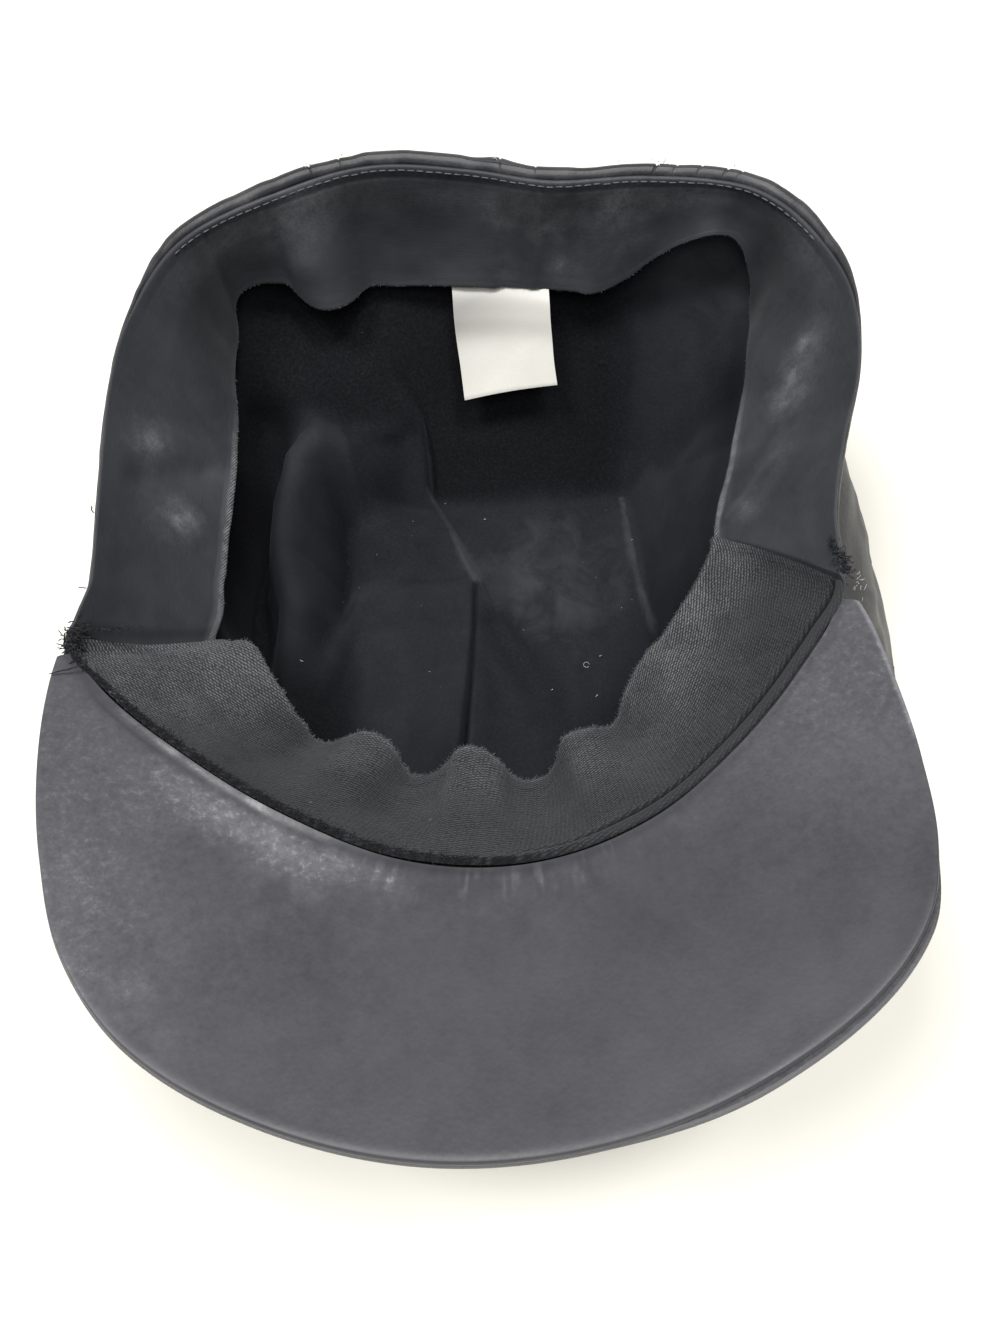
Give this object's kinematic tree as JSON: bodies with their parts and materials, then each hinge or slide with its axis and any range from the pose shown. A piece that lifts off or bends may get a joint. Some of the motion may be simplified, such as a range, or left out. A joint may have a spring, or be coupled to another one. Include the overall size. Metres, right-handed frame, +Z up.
{
  "type": "leather biker cap with a peak",
  "caption": "Soft leather peaked cap lying upside down on its crown, with a flared crown, upright band, curved peak, inner sweatband, folded cotton lining and a blank label.",
  "frame": {"origin": "centre of the crown's outer top, on the surface that the cap rests on", "axes": "+Z up, out of the head opening; -Y towards the tip of the peak; +X to the right as the picture shows the cap"},
  "size_m": [0.214, 0.2405, 0.1139],
  "materials": {
    "leather": "smooth black leather, soft sheen",
    "peak_leather": "smooth dark grey leather, dusty and lightly scuffed",
    "coated_cloth": "smooth coated cloth, chalky in places",
    "ribbed_cloth": "thick ribbed twill",
    "cotton": "matt black cotton",
    "satin": "off-white woven satin"
  },
  "bodies": {
    "root": {"crown_top": "leather", "crown_side_right": "leather", "crown_side_left": "leather", "hat_band": "leather", "visor_under": "peak_leather", "visor_top": "leather", "sweatband_rear": "coated_cloth", "sweatband_front": "ribbed_cloth", "lining": "cotton", "size_label": "satin"}
  },
  "joints": []
}
